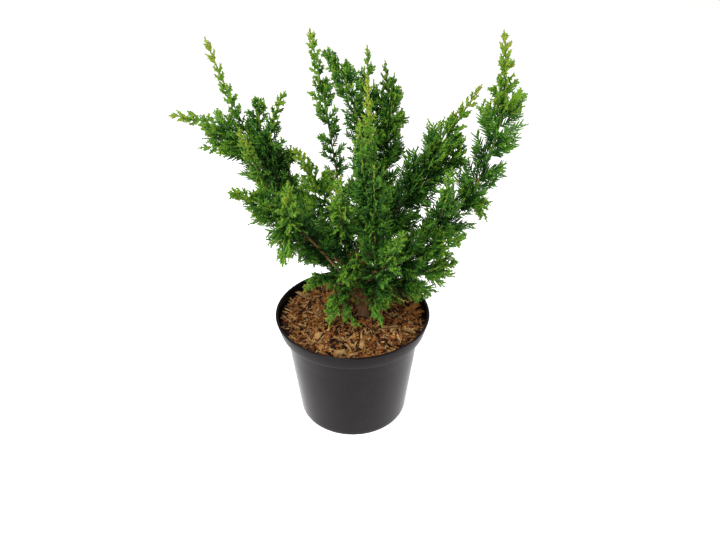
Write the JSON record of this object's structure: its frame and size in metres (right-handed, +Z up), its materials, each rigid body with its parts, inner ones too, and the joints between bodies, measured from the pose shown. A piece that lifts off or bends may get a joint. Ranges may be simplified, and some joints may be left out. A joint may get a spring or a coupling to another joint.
{
  "type": "potted dwarf hinoki cypress",
  "caption": "Dwarf hinoki cypress in a round black nursery pot: upright and spreading leaders with dense green sprays over bark mulch.",
  "frame": {"origin": "centre of the pot's flat underside, on the ground", "axes": "+Z up along the pot's axis; -Y is the plant's front, the side the picture was taken from"},
  "size_m": [0.3356, 0.1974, 0.4289],
  "materials": {
    "pot": "moulded black plastic with a soft sheen",
    "mulch": "coarse bark chips, dry",
    "bark": "reddish brown bark in thin strips",
    "young_bark": "smooth golden brown young bark",
    "foliage": "green scale leaves and short needles with a waxy sheen"
  },
  "bodies": {
    "root": {"bough_back_left": "young_bark", "bough_back_low_left": "young_bark", "bough_back_low_middle": "young_bark", "bough_back_low_right": "young_bark", "bough_back_middle": "young_bark", "bough_back_right": "young_bark", "bough_front_left": "young_bark", "bough_front_low_edge": "young_bark", "bough_front_low_left": "young_bark", "bough_front_low_right": "young_bark", "bough_front_middle": "young_bark", "bough_front_tuft": "young_bark", "bough_left_high": "young_bark", "bough_left_low": "young_bark", "bough_left_side": "young_bark", "bough_low_left": "young_bark", "bough_right_front": "young_bark", "bough_right_inner": "young_bark", "bough_right_low": "young_bark", "bough_right_middle": "young_bark", "bough_right_outer": "young_bark", "bough_right_outer_front": "young_bark", "bough_upright_back": "young_bark", "bough_upright_front": "young_bark", "bough_upright_left": "young_bark", "foliage_back_left": "foliage", "foliage_back_low_left": "foliage", "foliage_back_low_middle": "foliage", "foliage_back_low_right": "foliage", "foliage_back_middle": "foliage", "foliage_back_right": "foliage", "foliage_front_left": "foliage", "foliage_front_low_edge": "foliage", "foliage_front_low_left": "foliage", "foliage_front_low_right": "foliage", "foliage_front_middle": "foliage", "foliage_front_tuft": "foliage", "foliage_left_high": "foliage", "foliage_left_low": "foliage", "foliage_left_side": "foliage", "foliage_low_left": "foliage", "foliage_right_front": "foliage", "foliage_right_inner": "foliage", "foliage_right_low": "foliage", "foliage_right_middle": "foliage", "foliage_right_outer": "foliage", "foliage_right_outer_front": "foliage", "foliage_upright_back": "foliage", "foliage_upright_front": "foliage", "foliage_upright_left": "foliage", "mulch": "mulch", "pot": "pot", "trunk": "bark"}
  },
  "joints": []
}
